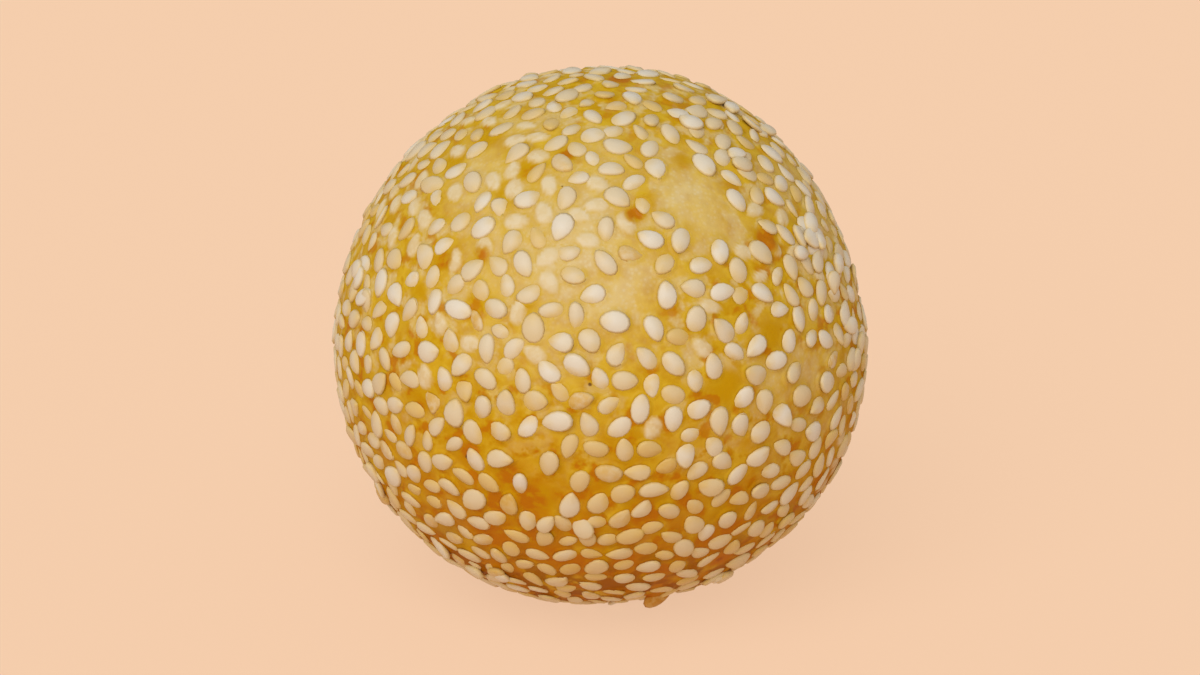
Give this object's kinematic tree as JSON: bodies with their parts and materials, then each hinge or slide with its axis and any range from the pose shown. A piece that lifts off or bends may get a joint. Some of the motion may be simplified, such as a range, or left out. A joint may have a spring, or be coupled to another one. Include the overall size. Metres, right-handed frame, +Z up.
{
  "type": "sesame ball",
  "caption": "Round fried ball of glutinous rice dough coated in white sesame seeds, resting on a small flat spot.",
  "frame": {"origin": "middle of the small flat spot that the ball rests on", "axes": "+Z up through the ball's centre, -Y out of the ball's front, +X to the right as seen from the front"},
  "size_m": [0.0636, 0.0643, 0.062],
  "materials": {
    "fried_dough": "glossy, oily honey-amber skin of fried rice dough, darker and more orange low down",
    "sesame_seed": "satin, cream-white hulled sesame, some toasted to gold"
  },
  "bodies": {
    "root": {"sesame_ball": "fried_dough"}
  },
  "joints": []
}
